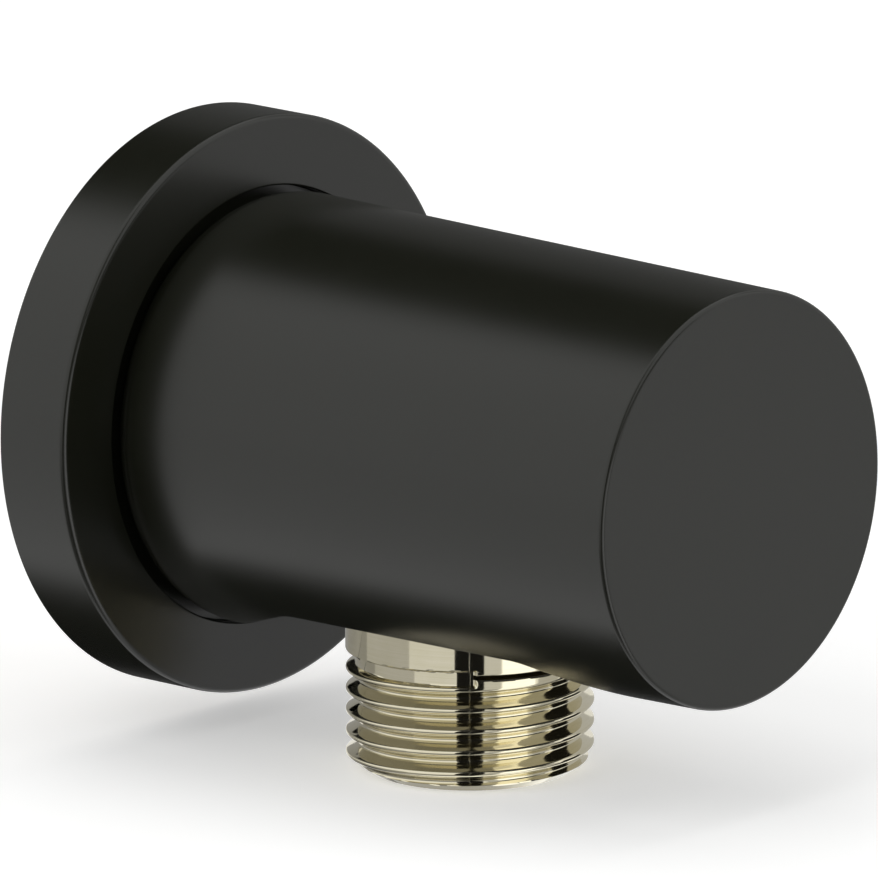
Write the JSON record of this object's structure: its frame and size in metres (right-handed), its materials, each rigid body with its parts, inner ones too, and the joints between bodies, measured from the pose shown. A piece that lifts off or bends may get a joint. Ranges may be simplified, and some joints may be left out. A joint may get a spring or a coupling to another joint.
{
  "type": "wall outlet elbow",
  "caption": "Black wall outlet elbow for a shower hose: round wall flange, tapered round body with a blind front, threaded hose outlet below with a check valve.",
  "frame": {"origin": "centre of the wall thread where it meets the finished wall, which is the plane of the flange's back rim", "axes": "+Y along the wall thread into the wall, so the body stands out along -Y; -Z along the hose outlet, down; +X to the right seen from in front"},
  "size_m": [0.0496, 0.0713, 0.0525],
  "materials": {
    "black_coating": "satin black coating on brass",
    "nickel_plate": "nickel-plated brass, bright turned",
    "brass": "bare turned brass",
    "gasket_rubber": "moulded EPDM",
    "ring_rubber": "moulded NBR",
    "screw_steel": "turned stainless steel",
    "spring_steel": "drawn stainless wire",
    "housing_plastic": "moulded POM, natural white",
    "guide_plastic": "moulded POM, natural white",
    "poppet_plastic": "moulded POM, blue"
  },
  "bodies": {
    "fitting": {"elbow_body": "black_coating", "wall_flange": "black_coating", "wall_nipple": "brass", "wall_gasket": "gasket_rubber", "flange_o_ring": "ring_rubber", "spigot_o_ring_rear": "ring_rubber", "spigot_o_ring_front": "ring_rubber", "set_screw": "screw_steel", "outlet_nipple": "nickel_plate", "outlet_o_ring": "ring_rubber", "valve_housing": "housing_plastic", "valve_o_ring": "ring_rubber", "valve_guide": "guide_plastic", "valve_spring": "spring_steel"},
    "poppet": {"valve_poppet": "poppet_plastic", "valve_seal": "ring_rubber"}
  },
  "joints": [
    {"name": "valve_lift", "type": "slide", "parent": "fitting", "child": "poppet", "axis": [0, 0, -1], "range_m": [0, 0.0025], "stiffness_N_per_m": 60, "springref_m": -0.002, "deforming": ["valve_spring"]}
  ]
}
